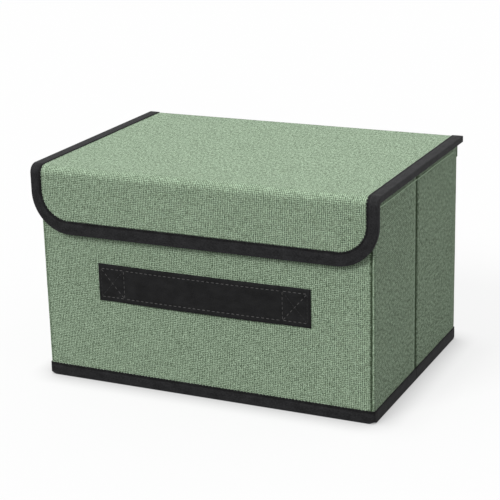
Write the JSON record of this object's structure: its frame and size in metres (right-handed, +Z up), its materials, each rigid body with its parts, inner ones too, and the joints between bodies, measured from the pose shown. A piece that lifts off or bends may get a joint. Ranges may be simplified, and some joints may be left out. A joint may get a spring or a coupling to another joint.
{
  "type": "foldable fabric storage box",
  "caption": "Cloth-covered storage box with a hinged lid, hanging front flap, strap handle, creased side walls that fold flat and a base board that tents up.",
  "frame": {"origin": "middle of the underside, on the bottom cloth's lower face", "axes": "+X to the right across the front, +Y from the front to the back, +Z up"},
  "size_m": [0.2796, 0.1938, 0.1708],
  "materials": {
    "linen_cloth": "matte heathered linen weave",
    "lining_cloth": "matte non-woven",
    "binding_tape": "matte black non-woven tape, stitched",
    "strap_webbing": "matte black cloth strap, stitched in grey",
    "board": "plain pressed board"
  },
  "bodies": {
    "back_wall": {"back_wall_cloth": "linen_cloth", "back_wall_board": "board", "back_wall_lining": "lining_cloth", "back_wall_binding": "binding_tape", "rear_left_corner_web": "linen_cloth", "rear_right_corner_web": "linen_cloth", "bottom_cloth": "linen_cloth", "lid_hinge_cloth": "linen_cloth"},
    "right_side_rear": {"right_side_rear_cloth": "linen_cloth", "right_side_rear_board": "board", "right_side_rear_lining": "lining_cloth", "right_side_rear_binding": "binding_tape", "right_crease_hinge": "linen_cloth"},
    "right_side_front": {"right_side_front_cloth": "linen_cloth", "right_side_front_board": "board", "right_side_front_lining": "lining_cloth", "right_side_front_binding": "binding_tape"},
    "left_side_rear": {"left_side_rear_cloth": "linen_cloth", "left_side_rear_board": "board", "left_side_rear_lining": "lining_cloth", "left_side_rear_binding": "binding_tape", "left_crease_hinge": "linen_cloth"},
    "left_side_front": {"left_side_front_cloth": "linen_cloth", "left_side_front_board": "board", "left_side_front_lining": "lining_cloth", "left_side_front_binding": "binding_tape"},
    "front_wall": {"front_wall_cloth": "linen_cloth", "front_wall_board": "board", "front_wall_lining": "lining_cloth", "front_wall_binding": "binding_tape", "front_left_corner_web": "linen_cloth", "front_right_corner_web": "linen_cloth", "strap_handle": "strap_webbing"},
    "lid": {"lid_cloth": "linen_cloth", "lid_board": "board", "lid_lining": "lining_cloth", "lid_left_binding": "binding_tape", "lid_right_binding": "binding_tape", "lid_front_fold": "linen_cloth"},
    "flap": {"flap_cloth": "linen_cloth", "flap_board": "board", "flap_lining": "lining_cloth", "flap_binding": "binding_tape"},
    "base_rear": {"base_rear_cover": "lining_cloth", "base_rear_board": "board", "base_crease_hinge": "lining_cloth"},
    "base_front": {"base_front_cover": "lining_cloth", "base_front_board": "board"}
  },
  "joints": [
    {"name": "rear_right_corner", "type": "hinge", "parent": "back_wall", "child": "right_side_rear", "pos_m": [0.13175, 0.0835, 0], "axis": [0, 0, 1], "range_deg": [-90, 0], "deforming": ["bottom_cloth", "right_side_rear_binding", "left_side_rear_binding", "front_wall_binding"]},
    {"name": "right_crease", "type": "hinge", "parent": "right_side_rear", "child": "right_side_front", "pos_m": [0.13512, -0.00337, 0], "axis": [0, 0, 1], "range_deg": [0, 180], "deforming": ["right_crease_hinge", "right_side_front_binding"]},
    {"name": "front_right_corner", "type": "hinge", "parent": "right_side_front", "child": "front_wall", "pos_m": [0.13175, -0.09025, 0], "axis": [0, 0, 1], "range_deg": [-90, 0]},
    {"name": "rear_left_corner", "type": "hinge", "parent": "back_wall", "child": "left_side_rear", "pos_m": [-0.13175, 0.0835, 0], "axis": [0, 0, 1], "range_deg": [0, 90]},
    {"name": "left_crease", "type": "hinge", "parent": "left_side_rear", "child": "left_side_front", "pos_m": [-0.13512, -0.00337, 0], "axis": [0, 0, 1], "range_deg": [-180, 0], "deforming": ["left_crease_hinge", "left_side_front_binding"]},
    {"name": "lid_hinge", "type": "hinge", "parent": "back_wall", "child": "lid", "pos_m": [0, 0.094, 0.17], "axis": [-1, 0, 0], "range_deg": [0, 220], "deforming": ["lid_hinge_cloth"]},
    {"name": "flap_hinge", "type": "hinge", "parent": "lid", "child": "flap", "pos_m": [0, -0.0955, 0.16625], "axis": [-1, 0, 0], "range_deg": [0, 90], "deforming": ["lid_front_fold"]},
    {"name": "base_lift", "type": "hinge", "parent": "back_wall", "child": "base_rear", "pos_m": [0, 0.09025, 0.004], "axis": [1, 0, 0], "range_deg": [-90, 0]},
    {"name": "base_crease", "type": "hinge", "parent": "base_rear", "child": "base_front", "pos_m": [0, 0.00025, 0.00088], "axis": [1, 0, 0], "range_deg": [0, 180], "deforming": ["base_crease_hinge"]}
  ],
  "couplings": [
    {"joint": "rear_right_corner", "follows": "right_crease", "ratio": -0.5},
    {"joint": "front_right_corner", "follows": "right_crease", "ratio": -0.5},
    {"joint": "rear_left_corner", "follows": "right_crease", "ratio": 0.5},
    {"joint": "left_crease", "follows": "right_crease", "ratio": -1},
    {"joint": "base_crease", "follows": "base_lift", "ratio": -2}
  ]
}
